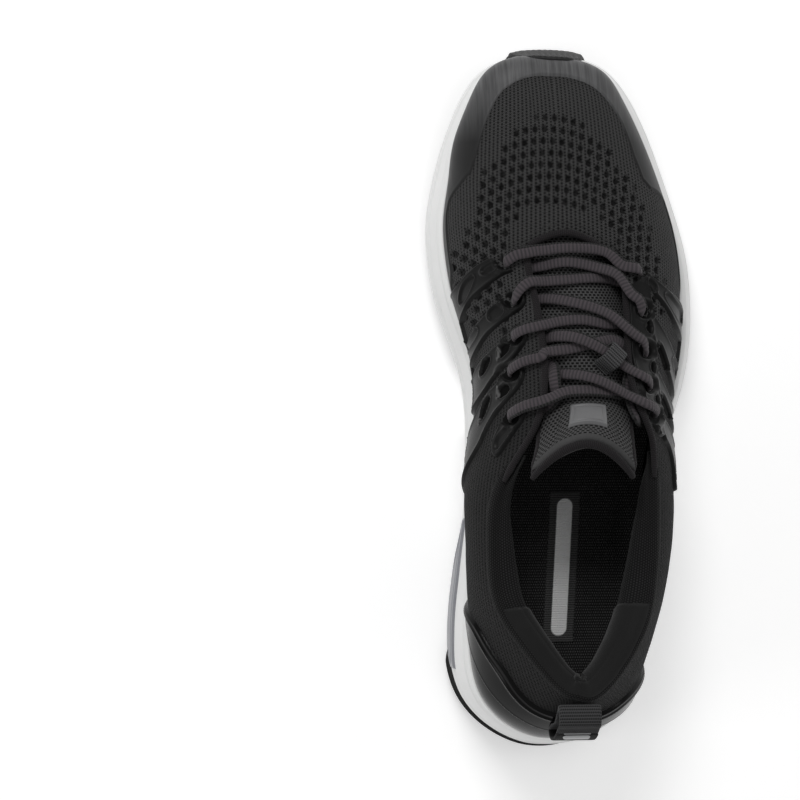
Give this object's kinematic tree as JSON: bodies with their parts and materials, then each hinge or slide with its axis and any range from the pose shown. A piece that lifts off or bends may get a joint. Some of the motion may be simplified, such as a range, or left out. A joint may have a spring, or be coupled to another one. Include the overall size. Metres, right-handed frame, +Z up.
{
  "type": "golf shoe",
  "caption": "Men's right golf shoe, spikeless, with a knitted upper, a foam midsole and rubber outsole pads",
  "frame": {"origin": "middle of the bounding box on the floor", "axes": "+Y towards the toe, +X towards the outer (lateral) side, +Z up"},
  "size_m": [0.1178, 0.3002, 0.1083],
  "materials": {
    "rubber": "matt moulded rubber",
    "foam": "moulded foam, satin skin",
    "tpu_grey": "semi-gloss moulded TPU",
    "knit": "ribbed knit",
    "film": "satin film welded on the knit",
    "cage": "satin moulded film",
    "gloss": "gloss",
    "lining": "padded knit",
    "suede": "microsuede",
    "lace": "oval braid with cross ribs",
    "binding": "rolled edge binding",
    "mesh": "open sandwich mesh",
    "label": "brushed moulded label",
    "webbing": "ribbed webbing",
    "board": "non-woven board",
    "plate": "moulded nylon",
    "insole": "ribbed textile on foam",
    "light": "moulded tab"
  },
  "bodies": {
    "shoe": {"outsole_forefoot": "rubber", "outsole_heel": "rubber", "midsole": "foam", "medial_stabilizer": "tpu_grey", "shank_plate": "plate", "strobel_board": "board", "insole": "insole", "vamp_knit": "knit", "quarter_medial": "knit", "quarter_lateral": "knit", "toe_cap_film": "film", "toe_puff": "board", "cage_medial": "cage", "cage_lateral": "cage", "heel_counter": "gloss", "heel_stiffener": "board", "collar_pad_medial": "lining", "collar_pad_lateral": "lining", "heel_grip_medial": "suede", "heel_grip_lateral": "suede", "throat_binding": "binding", "tongue": "mesh", "lace_keeper": "webbing", "lace": "lace", "aglet_medial": "gloss", "aglet_lateral": "gloss"},
    "tongue_flap": {"tongue_top": "mesh", "tongue_binding": "binding", "tongue_label": "label"},
    "pull_loop": {"pull_loop": "webbing", "pull_loop_label": "light"}
  },
  "joints": [
    {"name": "tongue_flap", "type": "hinge", "parent": "shoe", "child": "tongue_flap", "pos_m": [0.00102, 0.00089, 0.0846], "axis": [-1, 0, 0], "range_deg": [-6, 14], "stiffness_Nm_per_rad": 0.05},
    {"name": "pull_loop_lift", "type": "hinge", "parent": "shoe", "child": "pull_loop", "pos_m": [-0.00408, -0.12571, 0.0968], "axis": [-1, 0, 0], "range_deg": [0, 90], "stiffness_Nm_per_rad": 0.02}
  ]
}
